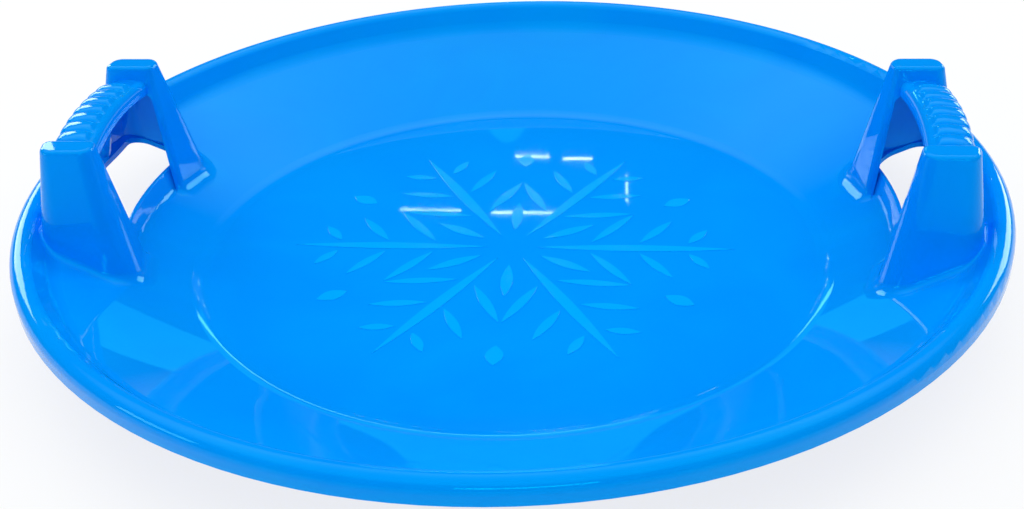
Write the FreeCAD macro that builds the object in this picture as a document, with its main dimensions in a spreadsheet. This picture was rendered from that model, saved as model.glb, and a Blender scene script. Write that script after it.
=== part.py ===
import FreeCAD, Part
import math
import os
import Sketcher
from FreeCAD import Placement, Rotation, Vector

# Saucer sled: a round dish with a rolled rim and two hand grips, each carried by two hollow posts.
# Millimetres, +Z up. The origin is the middle of the flat underside, and the grips stand at -X and +X.

# Driving sizes: alias, value, meaning
SIZES = [
    ("wall", 3.0, "thickness of the moulded plastic"),
    ("floor_inset", 103.0, "from the rim in to where the flat floor meets the sloping wall"),
    ("floor_round", 25.0, "rounding of the upper side between floor and wall"),
    ("shoulder_height", 42.0, "where the sloping wall turns up into the rim"),
    ("shoulder_round", 20.0, "rounding of that turn on the upper side"),
    ("rise_angle", 55.0, "degrees of the steep stretch inside the rim"),
    ("rim_radius", 300.0, "outer radius of the rim"),
    ("rim_height", 58.0, "top of the rolled rim above the ground"),
    ("bead_round", 7.0, "outer rounding of the rolled rim"),
    ("skirt_drop", 13.0, "how far the rim's skirt hangs below its top"),
    ("post_height", 104.0, "top of the posts above the ground"),
    ("foot_level", 10.0, "height at which the post's foot sizes are measured"),
    ("inboard_top", 60.0, "from the rim in to the post's face towards the seat, at the top"),
    ("inboard_foot", 72.5, "from the rim in to the post's face towards the seat, at the foot"),
    ("rimside_top", 28.5, "from the rim in to the post's face towards the rim, at the top"),
    ("rimside_foot", 9.0, "from the rim in to the post's face towards the rim, at the foot"),
    ("top_turn", 3.0, "degrees by which the post's top is turned to follow the rim"),
    ("gap_top", 53.5, "post's near face from the grip's middle, at the top"),
    ("gap_foot", 39.5, "post's near face from the grip's middle, at the foot"),
    ("depth_top", 15.8, "post's depth from its near face to its far face, at the top"),
    ("depth_foot", 50.5, "post's depth from its near face to its far face, at the foot"),
    ("corner_top", 7.5, "rounding of the post's far corners, at the top"),
    ("corner_foot", 20.0, "rounding of the post's far corners, at the foot"),
    ("near_corner", 4.0, "rounding of the post's near corner towards the seat"),
    ("rim_corner", 5.0, "rounding of the post's near corner towards the rim"),
    ("top_round", 3.0, "rounding of the post's top edges"),
    ("mouth_seat_lip", 4.6, "width left beside the post's open side, towards the seat"),
    ("mouth_rim_lip", 8.0, "width left beside the post's open side, towards the rim"),
    ("mouth_round", 5.0, "rounding of the upper corners of the post's open side"),
    ("seat_clearance", 0.1, "gap between a post's foot and the dish"),
    ("opening_level", 42.0, "height at which the hand opening equals the posts' hollow"),
    ("opening_rim", 23.0, "from the rim in to the hand opening's edge towards the rim"),
    ("opening_cut", 15.0, "how far the hand opening's corners towards the seat are cut off"),
    ("curb_setback", 6.5, "how far the curb's foot stands behind the posts' faces towards the seat"),
    ("curb_lean", 4.4, "how much further out the curb's top is than its foot"),
    ("curb_height", 34.7, "top of the curb above the ground"),
    ("curb_reach", 18.5, "how far the curb runs into the posts' hollow"),
    ("curb_edge", 1.2, "rounding of the curb's top edges"),
    ("curb_round", 7.0, "hollow rounding where the curb rises from the dish"),
    ("grip_width", 26.0, "width of the grip"),
    ("grip_depth", 10.5, "depth of the grip's channel section"),
    ("grip_inset", 42.3, "from the rim in to the middle of the grip"),
    ("grip_drop", 4.3, "how far the grip's crown lies below the posts' top"),
    ("grip_rise", 3.6, "how much higher the grip's middle is than its ends"),
    ("grip_bow", 3.2, "how much further out the grip's middle is than its ends"),
    ("grip_camber", 2.0, "how much the grip's top is crowned across"),
    ("grip_camber_round", 25.0, "rounding along the crown"),
    ("grip_inner_round", 5.0, "rounding of the grip's edge towards the seat"),
    ("grip_outer_round", 6.5, "rounding of the grip's edge towards the rim"),
    ("rib_pitch", 12.0, "distance from rib to rib"),
    ("ribs_each_side", 3, "ribs on each side of the middle one"),
    ("rib_width", 9.4, "width of a rib"),
    ("rib_height", 1.6, "how far a rib stands out of the grip"),
    ("rib_edge", 0.8, "rounding along a rib's edges"),
    ("rib_inset", 4.6, "distance of a rib's inner end from the grip's inner face"),
    ("rib_end_round", 3.0, "rounding of a rib's inner end"),
]

os.makedirs("parts", exist_ok=True)
doc = FreeCAD.newDocument("saucer_sled")
sheet = doc.addObject("Spreadsheet::Sheet", "Sizes")
for row, (alias, value, meaning) in enumerate(SIZES, start=1):
    sheet.set(f"A{row}", alias)
    sheet.set(f"B{row}", str(value))
    sheet.setAlias(f"B{row}", alias)
    sheet.set(f"C{row}", meaning)
doc.recompute()


def size(alias):
    """The sheet's cell, as it is written in an expression."""
    return f"Sizes.{alias}"


def number(expression):
    """What an expression comes to with the sheet's present sizes."""
    return float(sheet.evalExpression(expression))


# The dish's section, worked out from the driving sizes
RISE = size("rise_angle")
FLOOR_RADIUS = f"({size('rim_radius')} - {size('floor_inset')})"
BEAD_MIDDLE = f"({size('rim_height')} - {size('bead_round')})"
LIP_FACTOR = f"((1 + sin({RISE})) / cos({RISE}))"
LIP_HEIGHT = f"({BEAD_MIDDLE} + {size('bead_round')} * {LIP_FACTOR})"
LIP_UNDERSIDE = f"({BEAD_MIDDLE} + ({size('bead_round')} - {size('wall')}) * {LIP_FACTOR})"
SHOULDER_RADIUS = f"({size('rim_radius')} - ({LIP_HEIGHT} - {size('shoulder_height')}) / tan({RISE}))"
WALL_RISE = f"({size('shoulder_height')} - {size('wall')})"
WALL_RUN = f"({SHOULDER_RADIUS} - {FLOOR_RADIUS})"
SLOPE = f"(atan({WALL_RISE} / {WALL_RUN}) / 1deg)"
HALF_TURN = f"(({SLOPE} + {RISE}) / 2)"
SHOULDER_SHIFT = f"({size('wall')} / cos(({RISE} - {SLOPE}) / 2))"

# Where the handles stand, worked out from the driving sizes
POST_TOP = size("post_height")
POST_FOOT = size("foot_level")
CURB_FOOT = f"({size('rim_radius')} - {size('inboard_foot')} + {size('curb_setback')})"
CURB_TOP = f"({CURB_FOOT} + {size('curb_lean')})"
CURB_LEVEL = f"({size('wall')} / 2 + ({CURB_FOOT} - {FLOOR_RADIUS}) * {WALL_RISE} / {WALL_RUN})"
GRIP_MIDDLE = f"({size('rim_radius')} - {size('grip_inset')})"
GRIP_CROWN = f"({POST_TOP} - {size('grip_drop')})"


def between(top, foot, level):
    """A size of the post at a height, which runs evenly from its size at the foot to its size at the top."""
    return f"({top} + ({foot} - {top}) * ({POST_TOP} - {level}) / ({POST_TOP} - {POST_FOOT}))"


def near_face(level):
    """The post's near face from the grip's middle, at a height."""
    return between(size("gap_top"), size("gap_foot"), level)


def far_face(level):
    """The post's far face from the grip's middle, at a height."""
    return f"({near_face(level)} + {between(size('depth_top'), size('depth_foot'), level)})"


def far_corner(level):
    """The rounding of the post's far corners, at a height."""
    return between(size("corner_top"), size("corner_foot"), level)


def across(radius, aside):
    """The distance from the middle at which a circle about the sled's axis is a given way aside."""
    return f"sqrt({radius} ^ 2 - {aside} ^ 2)"


def post_corner(top, foot, aside, level):
    """How far out a post's corner stands at a height, from a circle at the foot to a line at the top."""
    rim = size("rim_radius")
    top_line = f"({rim} - {size(top)} - {aside} * tan({size('top_turn')}))"
    return between(top_line, across(f"({rim} - {size(foot)})", aside), level)


def arc_corners(radius, aside):
    """Where two lines that touch a circle about the axis cross each other, and reach a given way aside."""
    tilt = f"(asin({aside} / {radius}) / 2)"
    return f"({radius} / cos({tilt}))", f"(({radius} - {aside} * sin({tilt})) / cos({tilt}))"


def plane(body, role):
    return next(feature for feature in body.Origin.OriginFeatures if feature.Role == role)


def new_sketch(body, name, role, lift=None):
    """A sketch on one of the body's own planes, lifted off it by an expression where one is given."""
    sketch = body.newObject("Sketcher::SketchObject", name)
    sketch.AttachmentSupport = [(plane(body, role), "")]
    sketch.MapMode = "FlatFace"
    if lift:
        sketch.setExpression("AttachmentOffset.Base.z", lift)
    return sketch


def bind_point(sketch, geometry, end, place):
    """Dimensions a point from the sketch's origin with a pair of expressions."""
    for kind, expression in zip(("DistanceX", "DistanceY"), place):
        rule = Sketcher.Constraint(kind, -1, 1, geometry, end, number(expression))
        sketch.setExpression(f"Constraints[{sketch.addConstraint(rule)}]", expression)


def draw(sketch, corners, closed=True):
    """Straight lines through corners. A corner is two expressions, and a third that rounds it."""
    points = [Vector(number(corner[0]), number(corner[1]), 0) for corner in corners]
    count = len(points)
    joins = []
    for index, corner in enumerate(corners):
        here = points[index]
        if len(corner) < 3:
            joins.append((here, here, None))
            continue
        back = (points[index - 1] - here).normalize()
        ahead = (points[(index + 1) % count] - here).normalize()
        half = back.getAngle(ahead) / 2
        radius = number(corner[2])
        reach = radius / math.tan(half)
        middle = here + (back + ahead).normalize() * (radius / math.sin(half))
        joins.append((here + back * reach, here + ahead * reach, (middle, radius)))

    lines = []
    for index in range(count if closed else count - 1):
        segment = Part.LineSegment(joins[index][1], joins[(index + 1) % count][0])
        lines.append(sketch.addGeometry(segment, False))
    for index, corner in enumerate(corners):
        if not closed and index in (0, count - 1):
            bind_point(sketch, lines[0 if index == 0 else -1], 1 if index == 0 else 2, corner[:2])
            continue
        before, after = lines[index - 1], lines[index % len(lines)]
        if len(corner) < 3:
            sketch.addConstraint(Sketcher.Constraint("Coincident", before, 2, after, 1))
            bind_point(sketch, after, 1, corner[:2])
            continue
        round_corner(sketch, before, after, points[index], joins[index], corner)


def round_corner(sketch, before, after, point, join, corner):
    """An arc tangent to the two lines at a corner, which stays as a point that both lines run through."""
    start, finish, (middle, radius) = join
    turns_left = (point - start).cross(finish - point).z > 0
    first, last = (start, finish) if turns_left else (finish, start)
    angles = [math.atan2(spot.y - middle.y, spot.x - middle.x) for spot in (first, last)]
    circle = Part.Circle(middle, Vector(0, 0, 1), radius)
    arc = sketch.addGeometry(Part.ArcOfCircle(circle, angles[0], angles[1]), False)
    spot = sketch.addGeometry(Part.Point(point), True)
    entry, leave = (1, 2) if turns_left else (2, 1)
    sketch.addConstraint(Sketcher.Constraint("Tangent", before, 2, arc, entry))
    sketch.addConstraint(Sketcher.Constraint("Tangent", arc, leave, after, 1))
    sketch.addConstraint(Sketcher.Constraint("PointOnObject", spot, 1, before))
    sketch.addConstraint(Sketcher.Constraint("PointOnObject", spot, 1, after))
    bind_point(sketch, spot, 1, corner[:2])
    rule = sketch.addConstraint(Sketcher.Constraint("Radius", arc, radius))
    sketch.setExpression(f"Constraints[{rule}]", corner[2])


def feature(body, kind, name, profile):
    """A PartDesign feature made from a sketch."""
    made = body.newObject(f"PartDesign::{kind}", name)
    made.Profile = profile
    return made


def through_all(cut):
    cut.Type = "ThroughAll"
    cut.Midplane = True


def fillet_edges(body, name, base, radius, wanted):
    """Rounds the base feature's edges that the test picks."""
    doc.recompute()
    names = [f"Edge{index}" for index, edge in enumerate(base.Shape.Edges, start=1) if wanted(edge)]
    made = body.newObject("PartDesign::Fillet", name)
    made.Base = (base, names)
    made.setExpression("Radius", radius)
    return made


def dish_top_line(lift="0"):
    """The dish's upper side from the floor to the rim, raised square to the wall by a lift."""
    rounding = size("shoulder_round")
    half_slope = f"tan({SLOPE} / 2)"
    shift = f"({lift} / cos(({RISE} - {SLOPE}) / 2))"
    return [
        (f"{FLOOR_RADIUS} - {lift} * {half_slope}", f"{size('wall')} + {lift}"),
        (f"{SHOULDER_RADIUS} - {shift} * sin({HALF_TURN})",
         f"{size('shoulder_height')} + {shift} * cos({HALF_TURN})", f"{rounding} - {lift}"),
        (size("rim_radius"), f"{LIP_HEIGHT} + {lift} / cos({RISE})"),
    ]


def make_dish():
    """The floor, wall and rolled rim, turned about the axis, with the two hand openings and their curbs."""
    body = doc.addObject("PartDesign::Body", "dish")
    wall = size("wall")
    skirt_end = f"{size('rim_height')} - {size('skirt_drop')}"

    section = new_sketch(body, "dish_section", "XZ_Plane")
    draw(section, [
        ("0", wall),
        (FLOOR_RADIUS, wall, size("floor_round")),
        (SHOULDER_RADIUS, size("shoulder_height"), size("shoulder_round")),
        (size("rim_radius"), LIP_HEIGHT, size("bead_round")),
        (size("rim_radius"), skirt_end),
        (f"{size('rim_radius')} - {wall}", skirt_end),
        (f"{size('rim_radius')} - {wall}", LIP_UNDERSIDE, f"{size('bead_round')} - {wall}"),
        (f"{SHOULDER_RADIUS} + {SHOULDER_SHIFT} * sin({HALF_TURN})",
         f"{size('shoulder_height')} - {SHOULDER_SHIFT} * cos({HALF_TURN})",
         f"{size('shoulder_round')} + {wall}"),
        (f"{FLOOR_RADIUS} + {wall} * tan({SLOPE} / 2)", "0", f"{size('floor_round')} + {wall}"),
        ("0", "0"),
    ])
    shell = feature(body, "Revolution", "dish_shell", section)
    shell.ReferenceAxis = (section, ["V_Axis"])

    level = size("opening_level")
    end = f"({far_face(level)} - {wall})"
    corner = f"({far_corner(level)} - {wall})"
    cut_side = f"({end} - {size('opening_cut')})"
    inner = f"({CURB_FOOT} + {wall} / 2)"
    outer = f"({size('rim_radius')} - {size('opening_rim')})"
    inner_tip, inner_corner = arc_corners(inner, cut_side)
    outer_tip, outer_corner = arc_corners(outer, end)
    for label, side in (("right", "1"), ("left", "-1")):
        opening = new_sketch(body, f"{label}_opening_outline", "XY_Plane")
        draw(opening, [
            (f"{side} * {inner_corner}", f"-{cut_side}", corner),
            (f"{side} * ({inner_corner} + {size('opening_cut')})", f"-{end}", corner),
            (f"{side} * {outer_corner}", f"-{end}", corner),
            (f"{side} * {outer_tip}", "0", outer),
            (f"{side} * {outer_corner}", end, corner),
            (f"{side} * ({inner_corner} + {size('opening_cut')})", end, corner),
            (f"{side} * {inner_corner}", cut_side, corner),
            (f"{side} * {inner_tip}", "0", inner),
        ])
        through_all(feature(body, "Pocket", f"{label}_opening", opening))
        doc.recompute()

    curbs = new_sketch(body, "curb_sections", "XZ_Plane")
    for side in ("1", "-1"):
        draw(curbs, [
            (f"{side} * {CURB_FOOT}", CURB_LEVEL),
            (f"{side} * ({CURB_FOOT} + {wall})", CURB_LEVEL),
            (f"{side} * ({CURB_TOP} + {wall})", size("curb_height"), size("curb_edge")),
            (f"{side} * {CURB_TOP}", size("curb_height"), size("curb_edge")),
        ])

    def raise_curbs(name, half):
        """Turns the curb sections about the axis, as far as half a length to each side."""
        made = feature(body, "Revolution", name, curbs)
        made.ReferenceAxis = (curbs, ["V_Axis"])
        made.Midplane = True
        made.setExpression("Angle", f"2 * asin({half} / {CURB_TOP})")
        return made

    def curb_foot_line(edge):
        """True for the long line where a curb's inner face meets the dish."""
        middle = edge.valueAt((edge.FirstParameter + edge.LastParameter) / 2)
        inward = math.hypot(middle.x, middle.y) - number(CURB_FOOT)
        risen = middle.z - number(CURB_LEVEL)
        near = abs(inward) < number(wall) / 2 and number(wall) / 4 < risen < number(wall)
        return near and edge.Length > number(size("gap_foot")) / 2

    # Between the posts the curb rises from the dish in a hollow rounding, and it runs on into their hollow
    raised = raise_curbs("curbs", size("gap_foot"))
    rounded = fillet_edges(body, "curb_foot_rounding", raised, size("curb_round"), curb_foot_line)
    body.Tip = rounded
    doc.recompute()
    raise_curbs("curb_ends", f"({size('gap_foot')} + {size('curb_reach')})")
    return body


def make_post(name, side, turn):
    """One hollow tapered post, built at +X on the grip's side -1 or 1 along Y and turned about the axis."""
    body = doc.addObject("PartDesign::Body", name)
    wall = size("wall")

    near_foot = near_face(POST_FOOT)
    far_foot = far_face(POST_FOOT)

    def outline(label, level, inset):
        """The post's outline at a height, drawn in by an inset."""
        sketch = new_sketch(body, f"{name}_{label}", "XY_Plane", level)
        near = f"{side} * ({near_face(level)} + {inset})"
        far = f"{side} * ({far_face(level)} - {inset})"
        corner = f"{far_corner(level)} - {inset}"
        seat_near = f"{post_corner('inboard_top', 'inboard_foot', near_foot, level)} + {inset}"
        seat_far = f"{post_corner('inboard_top', 'inboard_foot', far_foot, level)} + {inset}"
        rim_near = f"{post_corner('rimside_top', 'rimside_foot', near_foot, level)} - {inset}"
        rim_far = f"{post_corner('rimside_top', 'rimside_foot', far_foot, level)} - {inset}"
        draw(sketch, [
            (seat_near, near, f"{size('near_corner')} - {inset}"),
            (seat_far, far, corner),
            (rim_far, far, corner),
            (rim_near, near, f"{size('rim_corner')} - {inset}"),
        ])
        return sketch

    def loft(kind, label, top_level, inset):
        made = feature(body, kind, f"{name}_{label}", outline(f"{label}_foot", POST_FOOT, inset))
        made.Sections = [outline(f"{label}_top", top_level, inset)]
        made.Ruled = True
        return made

    loft("AdditiveLoft", "outside", POST_TOP, "0")
    loft("SubtractiveLoft", "hollow", f"({POST_TOP} - {wall})", wall)

    # The side towards the grip is open below the grip's end
    mouth = new_sketch(body, f"{name}_mouth_outline", "XZ_Plane")
    mouth_top = f"({GRIP_CROWN} - {size('grip_rise')} - {size('grip_depth')})"

    def mouth_edges(level):
        inner = post_corner("inboard_top", "inboard_foot", near_foot, level)
        outer = post_corner("rimside_top", "rimside_foot", near_foot, level)
        return f"({inner} + {size('mouth_seat_lip')})", f"({outer} - {size('mouth_rim_lip')})"

    low_inner, low_outer = mouth_edges(POST_FOOT)
    high_inner, high_outer = mouth_edges(mouth_top)
    draw(mouth, [
        (low_inner, POST_FOOT),
        (low_outer, POST_FOOT),
        (high_outer, mouth_top, size("mouth_round")),
        (high_inner, mouth_top, size("mouth_round")),
    ])
    opened = feature(body, "Pocket", f"{name}_mouth", mouth)
    opened.Midplane = True
    opened.setExpression("Length", f"2 * ({size('gap_top')} + {wall})")

    land = new_sketch(body, f"{name}_seat_section", "XZ_Plane")
    line = dish_top_line(size("seat_clearance"))
    draw(land, line + [(line[2][0], "0"), (line[0][0], "0")])
    seat = feature(body, "Groove", f"{name}_seat", land)
    seat.ReferenceAxis = (land, ["V_Axis"])

    fillet_edges(body, f"{name}_top_edges", seat, size("top_round"),
                 lambda edge: edge.BoundBox.ZMin > number(POST_TOP) - 0.01)
    body.Placement = Placement(Vector(0, 0, 0), Rotation(Vector(0, 0, 1), turn))
    return body


def make_grip(name, turn):
    """The arched channel between two posts, with half-round ribs over its top and outer side."""
    body = doc.addObject("PartDesign::Body", name)
    wall = size("wall")
    half = f"({size('grip_width')} / 2)"
    inner_face = f"({GRIP_MIDDLE} - {half})"
    outer_face = f"({GRIP_MIDDLE} + {half})"
    shoulder = f"({GRIP_CROWN} - {size('grip_camber')})"
    underside = f"({GRIP_CROWN} - {size('grip_depth')})"

    # The arch is part of a circle that leans outwards. Its axis lies in the section's plane.
    sagitta = f"sqrt({size('grip_rise')} ^ 2 + {size('grip_bow')} ^ 2)"
    arch = f"(({size('gap_top')} ^ 2 + {sagitta} ^ 2) / (2 * {sagitta}))"
    axis_x = f"({GRIP_MIDDLE} - {arch} * {size('grip_bow')} / {sagitta})"
    axis_z = f"({GRIP_CROWN} - {arch} * {size('grip_rise')} / {sagitta})"

    def add_axis(sketch):
        ends = [(axis_x, axis_z),
                (f"{axis_x} + {size('grip_rise')}", f"{axis_z} - {size('grip_bow')}")]
        spots = [Vector(number(across_x), number(up), 0) for across_x, up in ends]
        line = sketch.addGeometry(Part.LineSegment(*spots), True)
        for end, place in enumerate(ends, start=1):
            bind_point(sketch, line, end, place)
        return (sketch, ["Axis0"])

    section = new_sketch(body, f"{name}_section", "XZ_Plane")
    axis = add_axis(section)
    draw(section, [
        (inner_face, underside),
        (inner_face, shoulder, size("grip_inner_round")),
        (GRIP_MIDDLE, GRIP_CROWN, size("grip_camber_round")),
        (outer_face, shoulder, size("grip_outer_round")),
        (outer_face, underside),
    ])
    bar = feature(body, "Revolution", f"{name}_bar", section)
    bar.ReferenceAxis = axis
    bar.Midplane = True
    bar.setExpression("Angle", f"2 * asin(({size('gap_top')} + {wall}) / {arch})")

    rib_outline = new_sketch(body, f"{name}_rib_outline", "XZ_Plane")
    height = size("rib_height")
    rib_start = f"({inner_face} + {size('rib_inset')})"
    rib_foot = f"({underside} + {wall} / 2)"
    draw(rib_outline, [
        (rib_start, rib_foot),
        (rib_start, f"{shoulder} + {height}", size("rib_end_round")),
        (GRIP_MIDDLE, f"{GRIP_CROWN} + {height}", size("grip_camber_round")),
        (f"{outer_face} + {height}", f"{shoulder} + {height}", f"{size('grip_outer_round')} + {height}"),
        (f"{outer_face} + {height}", rib_foot),
    ])
    rib = feature(body, "Pad", f"{name}_rib", rib_outline)
    rib.Midplane = True
    rib.setExpression("Length", size("rib_width"))
    doc.recompute()
    for label, backwards in (("front", False), ("rear", True)):
        row = body.newObject("PartDesign::PolarPattern", f"{name}_{label}_ribs")
        row.Originals = [rib]
        row.Axis = axis
        row.Reversed = backwards
        row.setExpression("Angle", f"{size('ribs_each_side')} * {size('rib_pitch')} / {arch} * 180 / pi")
        row.setExpression("Occurrences", f"{size('ribs_each_side')} + 1")
        body.Tip = row
        doc.recompute()

    def above_bar(point):
        return Part.Vertex(point).distToShape(bar.Shape)[0]

    def rib_edge(edge):
        """True along a rib's two upper edges, and false where it meets the bar, ends or is crossed."""
        crosses = edge.BoundBox.YLength > number(size("rib_width")) / 2
        if crosses or above_bar(edge.CenterOfMass) < number(height) / 4:
            return False
        meets_bar = any(above_bar(vertex.Point) < 0.01 for vertex in edge.Vertexes)
        return not (meets_bar and isinstance(edge.Curve, Part.Line))

    fillet_edges(body, f"{name}_rib_edges", row, size("rib_edge"), rib_edge)

    hollow = new_sketch(body, f"{name}_hollow_section", "XZ_Plane")
    hollow_axis = add_axis(hollow)
    draw(hollow, [
        (f"{inner_face} + {wall}", f"{underside} - {wall}"),
        (f"{inner_face} + {wall}", f"{shoulder} - {wall}", f"{size('grip_inner_round')} - {wall} / 2"),
        (f"{outer_face} - {wall}", f"{shoulder} - {wall}", f"{size('grip_outer_round')} - {wall}"),
        (f"{outer_face} - {wall}", f"{underside} - {wall}"),
    ])
    channel = feature(body, "Groove", f"{name}_channel", hollow)
    channel.ReferenceAxis = hollow_axis
    channel.Midplane = True
    channel.setExpression("Angle", f"2 * asin(({size('gap_top')} + 2 * {wall}) / {arch})")

    ends = new_sketch(body, f"{name}_end_faces", "YZ_Plane")
    for side in ("1", "-1"):
        draw(ends, [
            (f"{side} * {near_face(POST_FOOT)}", POST_FOOT),
            (f"{side} * {near_face(POST_TOP)}", POST_TOP),
            (f"{side} * {far_face(POST_FOOT)}", POST_TOP),
            (f"{side} * {far_face(POST_FOOT)}", POST_FOOT),
        ])
    trim = feature(body, "Pocket", f"{name}_ends", ends)
    through_all(trim)
    body.Placement = Placement(Vector(0, 0, 0), Rotation(Vector(0, 0, 1), turn))
    return body


pieces = [
    make_dish(),
    make_post("right_front_post", "-1", 0),
    make_post("right_rear_post", "1", 0),
    make_grip("right_grip", 0),
    make_post("left_front_post", "1", 180),
    make_post("left_rear_post", "-1", 180),
    make_grip("left_grip", 180),
]
doc.recompute()

for item in doc.Objects:
    if "Invalid" in item.State or "Error" in item.State:
        raise RuntimeError(f"{item.Name} failed: {item.State}")
for piece in pieces:
    if piece.Shape.isNull() or not piece.Shape.isValid() or len(piece.Shape.Solids) != 1:
        raise RuntimeError(f"{piece.Label} is not one valid solid")
for piece in pieces:
    box = piece.Shape.BoundBox
    print(f"{piece.Label}: {piece.Shape.Volume / 1000:.1f} cm3, z {box.ZMin:.1f} to {box.ZMax:.1f}")
    piece.Shape.exportStep(f"parts/{piece.Label}.step")
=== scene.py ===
import math
from typing import NamedTuple

import bmesh
import bpy
from bpy.props import FloatProperty, FloatVectorProperty, IntProperty, PointerProperty
from mathutils import Euler, Matrix, Vector


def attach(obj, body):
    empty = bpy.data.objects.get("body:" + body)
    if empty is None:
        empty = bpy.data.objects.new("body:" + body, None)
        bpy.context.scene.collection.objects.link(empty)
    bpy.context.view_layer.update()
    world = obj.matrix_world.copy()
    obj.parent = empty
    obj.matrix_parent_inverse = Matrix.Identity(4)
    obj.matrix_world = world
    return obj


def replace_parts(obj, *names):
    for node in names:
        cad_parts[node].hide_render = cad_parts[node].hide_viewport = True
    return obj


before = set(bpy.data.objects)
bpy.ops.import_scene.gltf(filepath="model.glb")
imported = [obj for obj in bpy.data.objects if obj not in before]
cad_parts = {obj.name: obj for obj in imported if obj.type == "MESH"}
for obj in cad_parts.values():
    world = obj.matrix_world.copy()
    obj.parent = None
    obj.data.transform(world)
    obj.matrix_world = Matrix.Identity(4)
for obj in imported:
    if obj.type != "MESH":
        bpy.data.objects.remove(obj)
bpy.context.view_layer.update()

bl_info = {
    "name": "Saucer Sled",
    "version": (1, 0, 0),
    "blender": (4, 5, 0),
    "location": "View3D > Sidebar > Sled",
    "description": "Finishes a moulded saucer sled around its solids and sets up a studio for it",
    "category": "Object",
}

# The body that the added pieces are attached to
BODY = "root"
# Each post with its side along the grip before it is turned, and its turn in half circles
POSTS = {
    "right_front_post": (-1, 0),
    "right_rear_post": (1, 0),
    "left_front_post": (1, 1),
    "left_rear_post": (-1, 1),
}
# Each grip with its turn in half circles
GRIPS = {"right_grip": 0, "left_grip": 1}


def length(name, description, default):
    """A length that a user would change, in metres."""
    return FloatProperty(name=name, description=description, unit="LENGTH", precision=4, default=default)


def slope(name, description, degrees):
    """An angle that a user would change."""
    return FloatProperty(name=name, description=description, subtype="ANGLE", default=math.radians(degrees))


def share(name, description, default):
    """A value from 0 to 1 that a user would change."""
    return FloatProperty(
        name=name, description=description, subtype="FACTOR", min=0.0, max=1.0, default=default)


def paint(name, description, default):
    """A colour that a user would change."""
    return FloatVectorProperty(
        name=name, description=description, subtype="COLOR", size=3, min=0.0, max=1.0, default=default)


class SledDish(bpy.types.PropertyGroup):
    """The dish's upper side, which the posts' feet run out on."""

    rim: length("Rim radius", "Outer radius of the rim", 0.300)
    floor: length("Floor radius", "Where the flat floor meets the sloping wall", 0.197)
    floor_level: length("Floor level", "Height of the floor's upper side", 0.003)
    shoulder: length("Shoulder radius", "Where the sloping wall turns up into the rim", 0.27815)
    shoulder_level: length("Shoulder level", "Height of that turn", 0.042)
    shoulder_round: length("Shoulder rounding", "Rounding of that turn", 0.020)
    rise: slope("Rise", "Slope of the steep stretch inside the rim", 55)


class SledPosts(bpy.types.PropertyGroup):
    """The posts' outsides and the hollow roundings at their feet."""

    top: length("Top", "Height of the posts", 0.104)
    foot: length("Foot", "Height at which the foot sizes are measured", 0.010)
    inboard_top: length("Inboard top", "Seat face in from the rim, at the top", 0.060)
    inboard_foot: length("Inboard foot", "Seat face in from the rim, at the foot", 0.0725)
    rimside_top: length("Rim side top", "Rim face in from the rim, at the top", 0.0285)
    rimside_foot: length("Rim side foot", "Rim face in from the rim, at the foot", 0.009)
    top_turn: slope("Top turn", "Turn of the top to follow the rim", 3)
    gap_top: length("Gap top", "Near face from the grip's middle, at the top", 0.0535)
    gap_foot: length("Gap foot", "Near face from the grip's middle, at the foot", 0.0395)
    depth_top: length("Depth top", "Near face to far face, at the top", 0.0158)
    depth_foot: length("Depth foot", "Near face to far face, at the foot", 0.0505)
    corner_top: length("Far corners top", "Rounding of the far corners, at the top", 0.0075)
    corner_foot: length("Far corners foot", "Rounding of the far corners, at the foot", 0.020)
    near_corner: length("Near corner", "Rounding of the near corner towards the seat", 0.004)
    rim_corner: length("Rim corner", "Rounding of the near corner towards the rim", 0.005)
    seat_flare: length("Seat flare", "Reach of the foot's rounding towards the seat", 0.008)
    side_flare: length("Side flare", "Reach of the foot's rounding at the far face", 0.005)
    rim_flare: length("Rim flare", "Reach of the foot's rounding towards the rim", 0.0025)


class SledGrips(bpy.types.PropertyGroup):
    """The arched bars with their barrel-shaped ribs."""

    middle: length("Middle", "Middle of the grip from the sled's axis", 0.2577)
    crown: length("Crown", "Height of the grip's middle, without its ribs", 0.0997)
    width: length("Width", "Width of the grip", 0.026)
    depth: length("Depth", "Depth of the grip's channel section", 0.0105)
    reach: length("Half length", "From the middle to where the grip is let into a post", 0.0525)
    rise: length("Rise", "How much higher the middle is than the ends", 0.0036)
    bow: length("Bow", "How much further out the middle is than the ends", 0.0032)
    camber: length("Camber", "How much the top is crowned across", 0.002)
    crown_round: length("Crown rounding", "Rounding along the middle of the top", 0.025)
    inner_round: length("Inner rounding", "Rounding of the edge towards the seat", 0.005)
    outer_round: length("Outer rounding", "Rounding of the edge towards the rim", 0.0065)
    lower_round: length("Lower rounding", "Rounding of the two lower edges", 0.0008)
    inside_round: length("Inside rounding", "Rounding of the channel's inside corners", 0.002)
    wall: length("Wall", "Thickness of the plastic", 0.003)
    rib_count: IntProperty(name="Ribs", description="Number of ribs", default=7)
    rib_pitch: length("Rib pitch", "Distance from rib to rib", 0.012)
    rib_height: length("Rib height", "How far a rib stands out", 0.0021)
    rib_inset: length("Rib inset", "Smooth band left beside the ribs, towards the seat", 0.0046)


class SledDesign(bpy.types.PropertyGroup):
    """The snow crystal in low relief on the floor."""

    arms: IntProperty(name="Arms", description="Number of arms", default=6)
    radius: length("Radius", "From the middle to the arms' tips", 0.140)
    stroke: length("Stroke", "Width of a stroke at its middle", 0.0075)
    relief: length("Relief", "How far the strokes stand above the floor", 0.0003)


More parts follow.
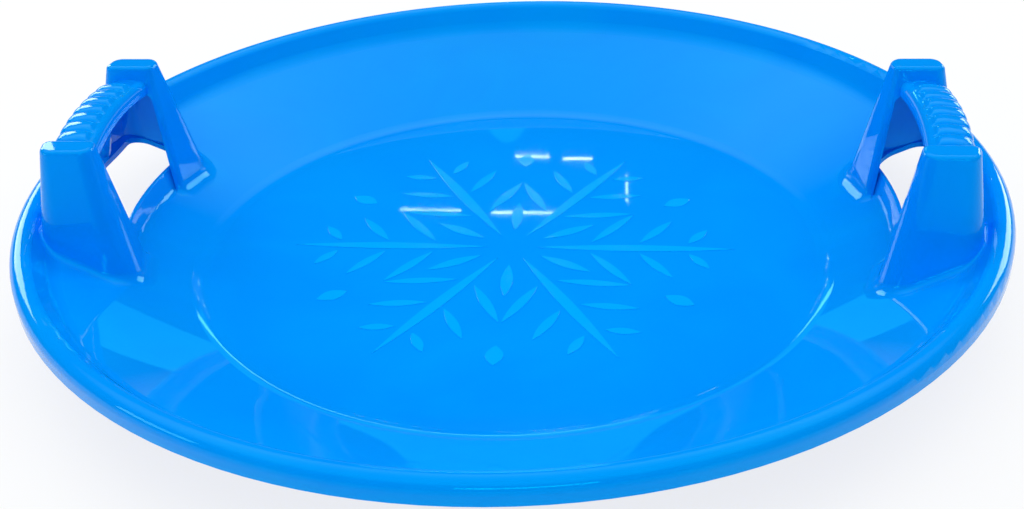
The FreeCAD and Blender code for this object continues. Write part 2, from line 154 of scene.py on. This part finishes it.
class SledColours(bpy.types.PropertyGroup):
    """Colours and gloss of the moulded plastic."""

    plastic: paint("Plastic", "Colour of the plastic all through", (0.0, 0.300, 1.0))
    flow_mark: paint("Flow marks", "Colour of the faint marks that the melt leaves", (0.0, 0.325, 1.0))
    # Painted highlight: a lighter colour laid on pointed edges in place of light coming through thin
    # plastic
    painted_edge_light: paint(
        "Thin edges", "Colour where the plastic is thin and lets light through", (0.0, 0.420, 1.0))
    design: paint("Floor design", "Colour of the snow crystal on the floor", (0.0, 0.400, 1.0))
    gloss: share("Gloss roughness", "Roughness of the polished faces", 0.018)
    polish_smear: share("Polish smears", "How much rougher the polished faces are in places", 0.015)
    satin_smear: share("Satin smears", "How much rougher the floor design is in places", 0.25)
    peel: FloatProperty(
        name="Mould waviness", description="Height of the shallow waves in the moulded skin",
        unit="LENGTH", precision=6, default=0.00008)


class SledStage(bpy.types.PropertyGroup):
    """Camera, floor and lights."""

    camera_place: FloatVectorProperty(
        name="Camera place", description="Where the camera stands", subtype="TRANSLATION", size=3,
        default=(0.08316, -0.78035, 0.46153))
    camera_turn: FloatVectorProperty(
        name="Camera turn", description="How the camera is turned", subtype="EULER", size=3,
        default=(math.radians(59.3773), math.radians(2.0878), math.radians(4.879)))
    camera_lens: FloatProperty(
        name="Lens", description="Focal length on a 36 mm wide sensor, in millimetres", default=49.93)
    floor_colour: paint("Floor", "Colour of the studio floor", (0.92, 0.92, 0.92))


def node(tree, kind, place, inputs=None, **settings):
    """A shader node with its settings and input values."""
    made = tree.nodes.new(kind)
    made.location = place
    for name, value in settings.items():
        setattr(made, name, value)
    for name, value in (inputs or {}).items():
        made.inputs[name].default_value = value
    return made


def opaque(colour):
    """A colour as the shader nodes take it."""
    return (*colour, 1.0)


# How fine the plastic's flow marks, smears and waves are
FLOW_SCALE = 9.0
SMEAR_SCALE = 22.0
WAVE_SCALE = 12.0
# The stretch of the noise over which a flow mark or a smear comes up
FLOW_RANGE = (0.35, 0.75)
SMEAR_RANGE = (0.3, 0.8)
# How pointed an edge is where the painted edge highlight starts and where it is strongest
EDGE_RANGE = (0.52, 0.62)
# How much of the painted edge highlight's colour the most pointed edge takes
PAINTED_EDGE_LIGHT_SHARE = 0.5
WAVE_STRENGTH = 0.6
PLASTIC_IOR = 1.4
# Colour of what the plastic mirrors when it is looked at straight on
MIRROR_TINT = (0.0, 1.0, 1.0)


def moulded_plastic(name, colours, base, marked, smear_height):
    """Polished plastic with faint flow marks, a wavy skin and a painted highlight, a lighter colour on its
    pointed edges.
    """
    material = bpy.data.materials.new(name)
    material.use_nodes = True
    tree = material.node_tree
    tree.nodes.clear()
    link = tree.links.new
    place = node(tree, "ShaderNodeTexCoord", (-1200, 0))

    flow = node(tree, "ShaderNodeTexNoise", (-900, 300),
                {"Scale": FLOW_SCALE, "Detail": 3.0, "Distortion": 1.5})
    link(place.outputs["Object"], flow.inputs["Vector"])
    flow_colour = node(tree, "ShaderNodeValToRGB", (-650, 300))
    for stop, position, colour in zip(flow_colour.color_ramp.elements, FLOW_RANGE, (base, marked)):
        stop.position = position
        stop.color = opaque(colour)
    link(flow.outputs["Fac"], flow_colour.inputs["Fac"])

    geometry = node(tree, "ShaderNodeNewGeometry", (-900, 600))
    # Painted highlight: the more pointed an edge, the more of the lighter edge colour it takes
    edge = node(tree, "ShaderNodeMapRange", (-650, 600), {
        "From Min": EDGE_RANGE[0], "From Max": EDGE_RANGE[1], "To Min": 0.0, "To Max": PAINTED_EDGE_LIGHT_SHARE})
    link(geometry.outputs["Pointiness"], edge.inputs["Value"])
    tint = node(tree, "ShaderNodeMix", (-350, 400), data_type="RGBA")
    tint.inputs["B"].default_value = opaque(colours.painted_edge_light)
    link(edge.outputs["Result"], tint.inputs["Factor"])
    link(flow_colour.outputs["Color"], tint.inputs["A"])

    smear = node(tree, "ShaderNodeTexNoise", (-900, -50),
                 {"Scale": SMEAR_SCALE, "Detail": 5.0, "Roughness": 0.65})
    link(place.outputs["Object"], smear.inputs["Vector"])
    gloss = node(tree, "ShaderNodeMapRange", (-650, -50), {
        "From Min": SMEAR_RANGE[0], "From Max": SMEAR_RANGE[1],
        "To Min": colours.gloss, "To Max": colours.gloss + smear_height})
    link(smear.outputs["Fac"], gloss.inputs["Value"])

    waves = node(tree, "ShaderNodeTexNoise", (-900, -400), {"Scale": WAVE_SCALE, "Detail": 1.0})
    link(place.outputs["Object"], waves.inputs["Vector"])
    skin = node(tree, "ShaderNodeBump", (-350, -400), {"Strength": WAVE_STRENGTH, "Distance": colours.peel})
    link(waves.outputs["Fac"], skin.inputs["Height"])

    plastic = node(tree, "ShaderNodeBsdfPrincipled", (0, 200),
                   {"IOR": PLASTIC_IOR, "Specular Tint": opaque(MIRROR_TINT)})
    link(tint.outputs["Result"], plastic.inputs["Base Color"])
    link(gloss.outputs["Result"], plastic.inputs["Roughness"])
    link(skin.outputs["Normal"], plastic.inputs["Normal"])
    output = node(tree, "ShaderNodeOutputMaterial", (300, 200))
    link(plastic.outputs["BSDF"], output.inputs["Surface"])
    return material


def sled_plastic(colours):
    """The blue plastic of the whole moulding, made once."""
    made = bpy.data.materials.get("moulded_plastic")
    return made or moulded_plastic(
        "moulded_plastic", colours, colours.plastic, colours.flow_mark, colours.polish_smear)


def finish_node(name, material):
    """Gives a solid its finish."""
    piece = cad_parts[name]
    piece.data.materials.clear()
    piece.data.materials.append(material)


def new_piece(name, mesh, material):
    """An object that rides on the sled and takes a finish."""
    mesh.materials.append(material)
    piece = bpy.data.objects.new(name, mesh)
    bpy.context.scene.collection.objects.link(piece)
    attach(piece, BODY)
    return piece


def rounded_path(corners, arc_steps, side_steps):
    """Points along a line with rounded corners.

    A corner is a point and its rounding. A corner with a rounding of 0 stays sharp.
    """
    points = []
    count = len(corners)
    for index, (corner, radius) in enumerate(corners):
        if radius == 0:
            points.append(corner.copy())
        else:
            back = (corners[index - 1][0] - corner).normalized()
            ahead = (corners[(index + 1) % count][0] - corner).normalized()
            half = back.angle(ahead) / 2
            middle = corner + (back + ahead).normalized() * (radius / math.sin(half))
            start = corner + back * (radius / math.tan(half)) - middle
            finish = corner + ahead * (radius / math.tan(half)) - middle
            for step in range(arc_steps + 1):
                points.append(middle + start.slerp(finish, step / arc_steps).normalized() * radius)
        if index < count - 1:
            next_corner, next_radius = corners[index + 1]
            ahead = (next_corner - corner).normalized()
            run_end = next_corner
            if next_radius:
                beyond = (corners[(index + 2) % count][0] - next_corner).normalized()
                run_end = next_corner - ahead * (next_radius / math.tan((-ahead).angle(beyond) / 2))
            here = points[-1]
            for step in range(1, side_steps):
                points.append(here.lerp(run_end, step / side_steps))
    return points


def half_circles(turns):
    """A turn about the sled's axis by a number of half circles."""
    return Matrix.Rotation(math.pi * turns, 4, "Z")


# Edges that turn more than this stay sharp
SHARP_TURN = math.radians(60)


def tube_mesh(name, rows):
    """A tube of quads through rings of points, with capped ends and sharp edges kept sharp."""
    bm = bmesh.new()
    rings = [[bm.verts.new(point) for point in row] for row in rows]
    count = len(rows[0])
    for first, second in zip(rings, rings[1:]):
        for step in range(count):
            ahead = (step + 1) % count
            bm.faces.new((first[step], first[ahead], second[ahead], second[step]))
    bm.faces.new(rings[0])
    bm.faces.new(reversed(rings[-1]))
    bmesh.ops.recalc_face_normals(bm, faces=bm.faces)
    if bm.calc_volume(signed=True) < 0:
        bmesh.ops.reverse_faces(bm, faces=bm.faces)
    mesh = bpy.data.meshes.new(name)
    bm.to_mesh(mesh)
    bm.free()
    mesh.shade_smooth()
    mesh.set_sharp_from_angle(angle=SHARP_TURN)
    return mesh


class SLED_OT_finish_dish(bpy.types.Operator):
    """Give the dish its polished plastic."""

    bl_idname = "sled.finish_dish"
    bl_label = "Finish Dish"

    def execute(self, context):
        finish_node("dish", sled_plastic(context.scene.sled_colours))
        return {"FINISHED"}


# How round a leaf's sides are, as the share of its length that its handles take
LEAF_FULLNESS = 0.25


def leaf(curve, start, finish, width):
    """Adds a pointed stroke to a flat curve."""
    along = finish - start
    aside = Vector((-along.y, along.x)).normalized() * width / 2
    middle = (start + finish) / 2
    spline = curve.splines.new("BEZIER")
    spline.use_cyclic_u = True
    spline.bezier_points.add(3)
    pull = along * LEAF_FULLNESS
    for point, place, handle in zip(
            spline.bezier_points,
            (start, middle + aside, finish, middle - aside),
            (Vector((0, 0)), pull, Vector((0, 0)), -pull)):
        point.co = place.to_3d()
        point.handle_left_type = point.handle_right_type = "FREE"
        point.handle_left = (place - handle).to_3d()
        point.handle_right = (place + handle).to_3d()


# Where an arm starts, as a share of the crystal's radius
ARM_START = 0.12
# A branch's root along its arm and its length, as shares of the radius
BRANCHES = ((0.36, 0.32), (0.58, 0.25), (0.80, 0.15))
# Angle between a branch and its arm, in radians
BRANCH_TURN = 0.95
# How far a branch stays off the arm's middle, and its width, as shares of the stroke
BRANCH_OFFSET = 0.9
BRANCH_WIDTH = 0.85
# Start and end of the strokes between the arms, as shares of the radius, and their width in strokes
BETWEEN_STROKES = ((0.16, 0.42, 1.0), (0.80, 0.94, 1.4))


def snow_crystal(design):
    """A snow crystal of separate pointed strokes, as a thin mesh."""
    curve = bpy.data.curves.new("snow_crystal", "CURVE")
    curve.dimensions = "2D"
    curve.fill_mode = "BOTH"
    curve.resolution_u = 8
    curve.bevel_depth = design.relief / 3
    curve.bevel_resolution = 2
    curve.extrude = design.relief / 3
    size = design.radius
    for arm in range(design.arms):
        turn = Matrix.Rotation(2 * math.pi * arm / design.arms, 2)
        leaf(curve, turn @ Vector((size * ARM_START, 0)), turn @ Vector((size, 0)), design.stroke)
        for side in (-1, 1):
            for root, reach in BRANCHES:
                start = Vector((size * root, side * design.stroke * BRANCH_OFFSET))
                tip = start + Vector((math.cos(BRANCH_TURN), side * math.sin(BRANCH_TURN))) * size * reach
                leaf(curve, turn @ start, turn @ tip, design.stroke * BRANCH_WIDTH)
        between = turn @ Matrix.Rotation(math.pi / design.arms, 2)
        for start, finish, width in BETWEEN_STROKES:
            leaf(curve, between @ Vector((size * start, 0)), between @ Vector((size * finish, 0)),
                 design.stroke * width)
    drawn = bpy.data.objects.new("snow_crystal_lines", curve)
    mesh = bpy.data.meshes.new_from_object(drawn)
    bpy.data.objects.remove(drawn)
    bpy.data.curves.remove(curve)
    return mesh


class SLED_OT_make_design(bpy.types.Operator):
    """Lay the snow crystal on the floor of the dish in low relief."""

    bl_idname = "sled.make_design"
    bl_label = "Make Floor Design"

    def execute(self, context):
        scene = context.scene
        colours = scene.sled_colours
        satin = moulded_plastic(
            "satin_plastic", colours, colours.design, colours.design, colours.satin_smear)
        mesh = snow_crystal(scene.sled_design)
        # A third of the relief is let into the floor, so that no gap shows under it
        level = scene.sled_dish.floor_level + scene.sled_design.relief / 3
        mesh.transform(Matrix.Translation((0, 0, level)))
        new_piece("floor_snow_crystal", mesh, satin)
        return {"FINISHED"}


def dish_height(dish, radius):
    """Height of the dish's upper side at a radius, from the sloping wall outwards."""
    wall_slope = math.atan2(dish.shoulder_level - dish.floor_level, dish.shoulder - dish.floor)
    setback = dish.shoulder_round * math.tan((dish.rise - wall_slope) / 2)
    turn_start = dish.shoulder - setback * math.cos(wall_slope)
    turn_end = dish.shoulder + setback * math.cos(dish.rise)
    if radius < turn_start:
        return dish.floor_level + (radius - dish.floor) * math.tan(wall_slope)
    if radius > turn_end:
        return dish.shoulder_level + (radius - dish.shoulder) * math.tan(dish.rise)
    middle = turn_start - dish.shoulder_round * math.sin(wall_slope)
    start_level = dish.floor_level + (turn_start - dish.floor) * math.tan(wall_slope)
    level = start_level + dish.shoulder_round * math.cos(wall_slope)
    return level - math.sqrt(dish.shoulder_round ** 2 - (radius - middle) ** 2)


def post_line(posts, rim, up):
    """A post's outline without its near side, from its foot at 0 to its top at 1."""
    near = posts.gap_foot
    far = posts.gap_foot + posts.depth_foot

    def corner(top, foot, aside):
        top_line = rim - top - aside * math.tan(posts.top_turn)
        foot_circle = math.sqrt((rim - foot) ** 2 - aside ** 2)
        return foot_circle + (top_line - foot_circle) * up

    near_face = near + (posts.gap_top - near) * up
    far_face = far + (posts.gap_top + posts.depth_top - far) * up
    rounding = posts.corner_foot + (posts.corner_top - posts.corner_foot) * up
    corners = [
        (Vector((corner(posts.inboard_top, posts.inboard_foot, near), near_face)), posts.near_corner),
        (Vector((corner(posts.inboard_top, posts.inboard_foot, far), far_face)), rounding),
        (Vector((corner(posts.rimside_top, posts.rimside_foot, far), far_face)), rounding),
        (Vector((corner(posts.rimside_top, posts.rimside_foot, near), near_face)), posts.rim_corner),
    ]
    return rounded_path(corners, arc_steps=10, side_steps=8)


# A post's side comes out of the dish below this share of its length
HIGHEST_MEETING = 0.8
HALVINGS = 30


def meeting_point(foot, top, dish):
    """Where a line up a post's side comes out of the dish, found by halving."""
    low = 0.0
    high = HIGHEST_MEETING
    for _ in range(HALVINGS):
        half = (low + high) / 2
        spot = foot.lerp(top, half)
        if spot.z < dish_height(dish, spot.xy.length):
            low = half
        else:
            high = half
    return foot.lerp(top, low)


# How far the edges of a foot's rounding sink into the plastic, and how far its hidden heel does
FOOT_SINK = 0.00004
FOOT_HEEL = 0.0005
# Steps across the rounding
FOOT_STEPS = 10


def foot_flare(posts, dish, side, turns):
    """Rings of points around the hollow rounding between a post and the dish."""
    lower = [point.to_3d() + Vector((0, 0, posts.foot)) for point in post_line(posts, dish.rim, 0)]
    upper = [point.to_3d() + Vector((0, 0, posts.top)) for point in post_line(posts, dish.rim, 1)]
    meets = [meeting_point(foot, top, dish) for foot, top in zip(lower, upper)]
    place = half_circles(turns) @ Matrix.Diagonal((1, side, 1, 1))
    rows = []
    for index, meet in enumerate(meets):
        run = meets[min(index + 1, len(meets) - 1)] - meets[max(index - 1, 0)]
        outward = Vector((-run.y, run.x, 0)).normalized()
        inboard = -outward.x
        flare = posts.side_flare + max(inboard, 0) * (posts.seat_flare - posts.side_flare)
        flare += max(-inboard, 0) * (posts.rim_flare - posts.side_flare)
        up = (upper[index] - lower[index]).normalized()
        above = meet + up * flare - outward * FOOT_SINK
        aside = meet + outward * flare
        aside.z = dish_height(dish, aside.xy.length) - FOOT_SINK
        row = []
        for step in range(FOOT_STEPS + 1):
            done = step / FOOT_STEPS
            left = 1 - done
            row.append(place @ (above * left ** 2 + meet * 2 * done * left + aside * done ** 2))
        row.append(place @ (meet - outward * FOOT_HEEL - Vector((0, 0, FOOT_HEEL))))
        rows.append(row)
    return rows


class SLED_OT_finish_posts(bpy.types.Operator):
    """Give the posts their polished plastic and the hollow roundings at their feet."""

    bl_idname = "sled.finish_posts"
    bl_label = "Finish Posts"

    def execute(self, context):
        scene = context.scene
        material = sled_plastic(scene.sled_colours)
        for name, (side, turns) in POSTS.items():
            finish_node(name, material)
            rows = foot_flare(scene.sled_posts, scene.sled_dish, side, turns)
            new_piece(f"{name}_foot", tube_mesh(f"{name}_foot", rows), material)
        return {"FINISHED"}


def grip_section(grips):
    """The grip's channel section as a closed line, and how much each of its points swells with the ribs."""
    half = grips.width / 2
    under = -grips.depth
    ceiling = -grips.camber - grips.wall
    inside = half - grips.wall
    corners = [
        (Vector((-inside, under)), 0),
        (Vector((-half, under)), grips.lower_round),
        (Vector((-half, -grips.camber)), grips.inner_round),
        (Vector((0, 0)), grips.crown_round),
        (Vector((half, -grips.camber)), grips.outer_round),
        (Vector((half, under)), grips.lower_round),
        (Vector((inside, under)), 0),
        (Vector((inside, ceiling)), grips.inside_round),
        (Vector((-inside, ceiling)), grips.inside_round),
    ]
    points = rounded_path(corners, arc_steps=8, side_steps=4)
    start = -half + grips.rib_inset
    swells = []
    for point in points:
        outside = point.y > ceiling or abs(point.x) > inside + grips.lower_round / 2
        along = min(max((point.x - start) / grips.wall, 0), 1)
        from_under = min(max((point.y - under - grips.lower_round) / grips.wall, 0), 1)
        swells.append(along * along * (3 - 2 * along) * from_under if outside else 0.0)
    return points, swells


# Steps along a rib
RIB_STEPS = 18
# How flat a rib's back is, and how steeply it rises from the groove beside it
RIB_FLATNESS = 2.4
RIB_STEEPNESS = 1.6


def grip_rows(grips, turns):
    """The grip's section at many places along its arch, swollen by the barrel-shaped ribs."""
    section, swells = grip_section(grips)
    count = len(section)
    steps = grips.rib_count * RIB_STEPS
    ribbed = grips.rib_count * grips.rib_pitch / 2
    stations = [ribbed * (2 * step / steps - 1) for step in range(steps + 1)]
    place = half_circles(turns)
    rows = []
    for station in [-grips.reach, *stations, grips.reach]:
        drop = (station / grips.reach) ** 2
        # An odd number of ribs puts one in the middle of the grip
        phase = (station / grips.rib_pitch + 0.5 * (grips.rib_count % 2)) % 1.0
        swell = 0.0
        if abs(station) <= ribbed:
            swell = grips.rib_height * (1 - abs(2 * phase - 1) ** RIB_FLATNESS) ** (1 / RIB_STEEPNESS)
        row = []
        for index, point in enumerate(section):
            run = section[(index + 1) % count] - section[index - 1]
            outward = Vector((-run.y, run.x)).normalized()
            spot = point + outward * swell * swells[index]
            out = grips.middle - grips.bow * drop + spot.x
            up = grips.crown - grips.rise * drop + spot.y
            row.append(place @ Vector((out, station, up)))
        rows.append(row)
    return rows


class SLED_OT_make_grips(bpy.types.Operator):
    """Make the arched grips with their barrel-shaped ribs."""

    bl_idname = "sled.make_grips"
    bl_label = "Make Grips"

    def execute(self, context):
        scene = context.scene
        material = sled_plastic(scene.sled_colours)
        for name, turns in GRIPS.items():
            mesh = tube_mesh(f"{name}_bar", grip_rows(scene.sled_grips, turns))
            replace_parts(new_piece(f"{name}_bar", mesh, material), name)
        return {"FINISHED"}


class SoftBox(NamedTuple):
    """A lit panel, with its width and height in metres and the brightness of its face."""

    name: str
    place: tuple
    target: tuple
    width: float
    height: float
    brightness: float
    tint: tuple = (1.0, 1.0, 1.0)
    shape: str = "RECTANGLE"


SEAT = (0.0, 0.0, 0.05)
# The boxes light the sled. The panel, the strip and the tubes behind it are there for its gloss to mirror.
SOFT_BOXES = (
    SoftBox(
        "tall_panel", (-0.43, 4.0, 0.90), (-0.43, 0.0, 0.90), 0.40, 2.00, 0.65,
        tint=(0.03, 0.9, 1.0), shape="ELLIPSE"),
    SoftBox("left_box", (-1.5, 1.5, 0.85), SEAT, 0.9, 0.7, 6.0),
    SoftBox("right_box", (1.5, 1.5, 0.75), SEAT, 0.9, 0.7, 6.0),
    SoftBox("left_front_box", (-2.2, -0.9, 0.8), SEAT, 0.8, 0.45, 4.5),
    SoftBox("front_box", (0.3, -2.5, 1.0), SEAT, 1.2, 0.3, 8.0),
    SoftBox("rear_strip", (-0.51, 4.0, 1.50), (-0.51, 0.0, 0.0), 0.60, 0.16, 5.0, tint=(0.3, 1.0, 1.0)),
    SoftBox("tube_a", (-0.335, 4.0, 1.955), (-0.335, 0.0, 0.0), 0.13, 0.004, 30.0),
    SoftBox("tube_b", (-0.165, 4.0, 1.965), (-0.165, 0.0, 0.0), 0.11, 0.004, 30.0),
    SoftBox("tube_c", (-0.74, 4.0, 2.19), (-0.74, 0.0, 0.0), 0.24, 0.004, 22.0),
    SoftBox("tube_d", (-0.37, 4.0, 2.20), (-0.37, 0.0, 0.0), 0.26, 0.004, 30.0),
    SoftBox("tube_e", (0.02, 4.0, 2.09), (0.02, 0.0, 0.0), 0.008, 0.10, 10.0),
)


def hang_soft_box(box):
    """Hangs a lit panel. Its power follows from its size and the brightness of its face."""
    light = bpy.data.lights.new(box.name, "AREA")
    light.shape = box.shape
    light.size = box.width
    light.size_y = box.height
    light.energy = box.brightness * math.pi * box.width * box.height
    light.color = box.tint
    lamp = bpy.data.objects.new(box.name, light)
    lamp.location = box.place
    lamp.rotation_euler = (Vector(box.target) - Vector(box.place)).to_track_quat("-Z", "Y").to_euler()
    lamp.visible_camera = False
    bpy.context.scene.collection.objects.link(lamp)


FLOOR_HALF = 6.0
# The floor lies this far under the sled, so that the two don't share a plane
FLOOR_DROP = 0.0003
# How much of the floor is seen as plain white. The rest takes the light and the shadow.
FLOOR_WHITE = 0.8


def studio_floor(colour):
    """A wide pale floor just under the sled, brightened for the camera so that it reads as white."""
    mesh = bpy.data.meshes.new("studio_floor")
    corners = [(x * FLOOR_HALF, y * FLOOR_HALF, 0) for x, y in ((-1, -1), (1, -1), (1, 1), (-1, 1))]
    mesh.from_pydata(corners, [], [(0, 1, 2, 3)])
    floor = bpy.data.objects.new("studio_floor", mesh)
    floor.location.z = -FLOOR_DROP
    bpy.context.scene.collection.objects.link(floor)

    material = bpy.data.materials.new("studio_floor")
    material.use_nodes = True
    tree = material.node_tree
    tree.nodes.clear()
    link = tree.links.new
    path = node(tree, "ShaderNodeLightPath", (-600, 300))
    seen = node(tree, "ShaderNodeMath", (-400, 300), operation="MAXIMUM")
    link(path.outputs["Is Camera Ray"], seen.inputs[0])
    link(path.outputs["Is Glossy Ray"], seen.inputs[1])
    seen_or_through = node(tree, "ShaderNodeMath", (-200, 300), operation="MAXIMUM")
    link(seen.outputs[0], seen_or_through.inputs[0])
    link(path.outputs["Is Transmission Ray"], seen_or_through.inputs[1])
    whitened = node(tree, "ShaderNodeMath", (0, 300), operation="MULTIPLY")
    whitened.inputs[1].default_value = FLOOR_WHITE
    link(seen_or_through.outputs[0], whitened.inputs[0])
    matt = node(tree, "ShaderNodeBsdfDiffuse", (0, 100), {"Color": opaque(colour)})
    white = node(tree, "ShaderNodeEmission", (0, -100), {"Strength": 1.0})
    mixed = node(tree, "ShaderNodeMixShader", (250, 150))
    link(whitened.outputs[0], mixed.inputs["Fac"])
    link(matt.outputs[0], mixed.inputs[1])
    link(white.outputs[0], mixed.inputs[2])
    output = node(tree, "ShaderNodeOutputMaterial", (450, 150))
    link(mixed.outputs[0], output.inputs["Surface"])
    mesh.materials.append(material)


# Colours around the studio, and the height of each on its dome, from the horizon at 0 to the top at 1
HORIZON = (0.12, 0.16, 0.20)
WALLS = (0.006, 0.05, 0.06)
CEILING = (0.78, 0.78, 0.78)
DOME = (
    (0.0, HORIZON),
    (0.04, HORIZON),
    (0.10, WALLS),
    (0.60, WALLS),
    (0.80, CEILING),
    (1.0, CEILING),
)
DOME_STRENGTH = 2.0


def studio_world():
    """A dim horizon, dark blue walls and a wide lit ceiling."""
    world = bpy.data.worlds.new("studio")
    world.use_nodes = True
    tree = world.node_tree
    tree.nodes.clear()
    link = tree.links.new
    place = node(tree, "ShaderNodeTexCoord", (-900, 0))
    axes = node(tree, "ShaderNodeSeparateXYZ", (-700, 0))
    link(place.outputs["Generated"], axes.inputs["Vector"])
    ramp = node(tree, "ShaderNodeValToRGB", (-500, 0))
    stops = ramp.color_ramp.elements
    for height, _ in DOME[1:-1]:
        stops.new(height)
    for stop, (height, colour) in zip(stops, DOME):
        stop.position = height
        stop.color = opaque(colour)
    link(axes.outputs["Z"], ramp.inputs["Fac"])
    sky = node(tree, "ShaderNodeBackground", (-200, 0), {"Strength": DOME_STRENGTH})
    link(ramp.outputs["Color"], sky.inputs["Color"])
    output = node(tree, "ShaderNodeOutputWorld", (0, 0))
    link(sky.outputs[0], output.inputs["Surface"])
    bpy.context.scene.world = world


SENSOR_WIDTH = 36.0
NEAREST_SEEN = 0.01


class SLED_OT_set_stage(bpy.types.Operator):
    """Set up the floor, the lights and the camera."""

    bl_idname = "sled.set_stage"
    bl_label = "Set Stage"

    def execute(self, context):
        stage = context.scene.sled_stage
        context.scene.view_settings.view_transform = "Standard"
        studio_floor(stage.floor_colour)
        studio_world()
        for box in SOFT_BOXES:
            hang_soft_box(box)

        lens = bpy.data.cameras.new("camera")
        lens.sensor_fit = "HORIZONTAL"
        lens.sensor_width = SENSOR_WIDTH
        lens.lens = stage.camera_lens
        lens.clip_start = NEAREST_SEEN
        camera = bpy.data.objects.new("camera", lens)
        camera.location = stage.camera_place
        camera.rotation_euler = Euler(stage.camera_turn)
        context.scene.collection.objects.link(camera)
        context.scene.camera = camera
        return {"FINISHED"}


class SLED_PT_panel(bpy.types.Panel):
    """Lists the sled's sizes, colours and steps."""

    bl_idname = "SLED_PT_panel"
    bl_label = "Saucer Sled"
    bl_space_type = "VIEW_3D"
    bl_region_type = "UI"
    bl_category = "Sled"

    def draw(self, context):
        for name in GROUPS:
            group = getattr(context.scene, name)
            box = self.layout.box()
            for value in group.__annotations__:
                box.prop(group, value)
        for step in STEPS:
            self.layout.operator(step.bl_idname)


GROUPS = {
    "sled_dish": SledDish,
    "sled_posts": SledPosts,
    "sled_grips": SledGrips,
    "sled_design": SledDesign,
    "sled_colours": SledColours,
    "sled_stage": SledStage,
}
STEPS = (
    SLED_OT_finish_dish,
    SLED_OT_make_design,
    SLED_OT_finish_posts,
    SLED_OT_make_grips,
    SLED_OT_set_stage,
)
CLASSES = (*GROUPS.values(), *STEPS, SLED_PT_panel)


def register():
    for item in CLASSES:
        bpy.utils.register_class(item)
    for name, group in GROUPS.items():
        setattr(bpy.types.Scene, name, PointerProperty(type=group))


def unregister():
    for name in GROUPS:
        delattr(bpy.types.Scene, name)
    for item in reversed(CLASSES):
        bpy.utils.unregister_class(item)


def main():
    register()
    for group, step in (item.bl_idname.split(".") for item in STEPS):
        getattr(getattr(bpy.ops, group), step)()


if __name__ == "__main__":
    main()
